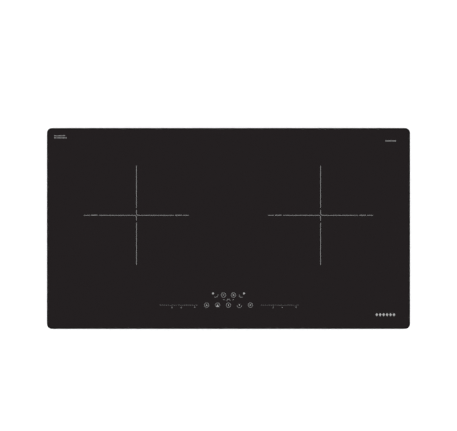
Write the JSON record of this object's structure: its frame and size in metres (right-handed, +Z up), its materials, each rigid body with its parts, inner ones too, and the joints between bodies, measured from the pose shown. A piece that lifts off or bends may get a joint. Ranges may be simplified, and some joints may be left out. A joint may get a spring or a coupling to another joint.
{
  "type": "induction cooktop",
  "caption": "Built-in electric induction cooktop: wide black glass-ceramic plate with printed cross-line zones and touch controls over a shallow vented metal tray.",
  "frame": {"origin": "centre of the base, on the plane the pressed feet stand on", "axes": "+X to the user's right, +Y away from the user towards the wall, +Z up"},
  "size_m": [0.73, 0.404, 0.06],
  "materials": {
    "glass_ceramic": "gloss",
    "silicone": "matte",
    "foam_seal": "matte",
    "galvanised_sheet": "satin",
    "label_foil": "satin",
    "zinc_plated_steel": "satin",
    "black_nylon": "satin",
    "terminal_plastic": "satin",
    "circuit_board": "satin",
    "natural_nylon": "satin",
    "enamelled_copper": "gloss",
    "capacitor_cases": "gloss",
    "ribbon_insulation": "satin",
    "conductive_foam": "matte",
    "display_plastic": "gloss",
    "sensor_rubber": "matte",
    "spring_steel": "satin",
    "glass_fibre_sleeve": "matte",
    "wire_insulation": "satin",
    "sintered_bronze": "satin",
    "ceramic_fibre": "matte",
    "litz_copper": "satin",
    "ferrite": "matte",
    "aluminium_sheet": "satin",
    "extruded_aluminium": "satin",
    "epoxy_package": "matte",
    "polished_steel": "polished",
    "motor_windings": "satin",
    "screen_print": "satin"
  },
  "bodies": {
    "housing": {"glass_top": "glass_ceramic", "adhesive_bead": "silicone", "worktop_seal": "foam_seal", "carrier_frame": "galvanised_sheet", "bottom_tray": "galvanised_sheet", "terminal_cover": "galvanised_sheet", "rating_label": "label_foil", "side_screws": "zinc_plated_steel", "base_screws": "zinc_plated_steel", "bracket_screws": "zinc_plated_steel", "cable_gland": "black_nylon", "terminal_block": "terminal_plastic", "filter_board": "circuit_board", "filter_standoffs": "natural_nylon", "filter_choke": "enamelled_copper", "filter_capacitors": "capacitor_cases", "ribbon_cable": "ribbon_insulation", "touch_carrier": "black_nylon", "touch_board": "circuit_board", "touch_pads": "conductive_foam", "digit_displays": "display_plastic", "temperature_sensors": "sensor_rubber", "coil_springs": "spring_steel", "coil_leads": "glass_fibre_sleeve", "mains_wires": "wire_insulation", "fan_bearings": "sintered_bronze", "insulation_pad_left": "ceramic_fibre", "coil_winding_left": "litz_copper", "coil_former_left": "black_nylon", "ferrite_bars_left": "ferrite", "coil_plate_left": "aluminium_sheet", "board_carrier_left": "black_nylon", "power_board_left": "circuit_board", "heatsink_left": "extruded_aluminium", "power_transistors_left": "epoxy_package", "resonance_capacitors_left": "capacitor_cases", "fan_housing_left": "black_nylon", "fan_inlet_plate_left": "black_nylon", "fan_motor_left": "motor_windings", "insulation_pad_right": "ceramic_fibre", "coil_winding_right": "litz_copper", "coil_former_right": "black_nylon", "ferrite_bars_right": "ferrite", "coil_plate_right": "aluminium_sheet", "board_carrier_right": "black_nylon", "power_board_right": "circuit_board", "heatsink_right": "extruded_aluminium", "power_transistors_right": "epoxy_package", "resonance_capacitors_right": "capacitor_cases", "fan_housing_right": "black_nylon", "fan_inlet_plate_right": "black_nylon", "fan_motor_right": "motor_windings"},
    "fan_rotor_left": {"fan_wheel_left": "black_nylon", "fan_shaft_left": "polished_steel"},
    "fan_rotor_right": {"fan_wheel_right": "black_nylon", "fan_shaft_right": "polished_steel"},
    "bracket_front_left_body": {"bracket_front_left": "galvanised_sheet"},
    "bracket_rear_left_body": {"bracket_rear_left": "galvanised_sheet"},
    "bracket_front_right_body": {"bracket_front_right": "galvanised_sheet"},
    "bracket_rear_right_body": {"bracket_rear_right": "galvanised_sheet"}
  },
  "joints": [
    {"name": "fan_spin_left", "type": "hinge", "parent": "housing", "child": "fan_rotor_left", "pos_m": [-0.095, 0.0265, 0.02], "axis": [0, 0, 1], "continuous": true},
    {"name": "fan_spin_right", "type": "hinge", "parent": "housing", "child": "fan_rotor_right", "pos_m": [0.095, 0.0265, 0.02], "axis": [0, 0, 1], "continuous": true},
    {"name": "bracket_front_left_slide", "type": "slide", "parent": "housing", "child": "bracket_front_left_body", "axis": [0, 0, 1], "range_m": [-0.01, 0.002]},
    {"name": "bracket_rear_left_slide", "type": "slide", "parent": "housing", "child": "bracket_rear_left_body", "axis": [0, 0, 1], "range_m": [-0.01, 0.002]},
    {"name": "bracket_front_right_slide", "type": "slide", "parent": "housing", "child": "bracket_front_right_body", "axis": [0, 0, 1], "range_m": [-0.01, 0.002]},
    {"name": "bracket_rear_right_slide", "type": "slide", "parent": "housing", "child": "bracket_rear_right_body", "axis": [0, 0, 1], "range_m": [-0.01, 0.002]}
  ]
}
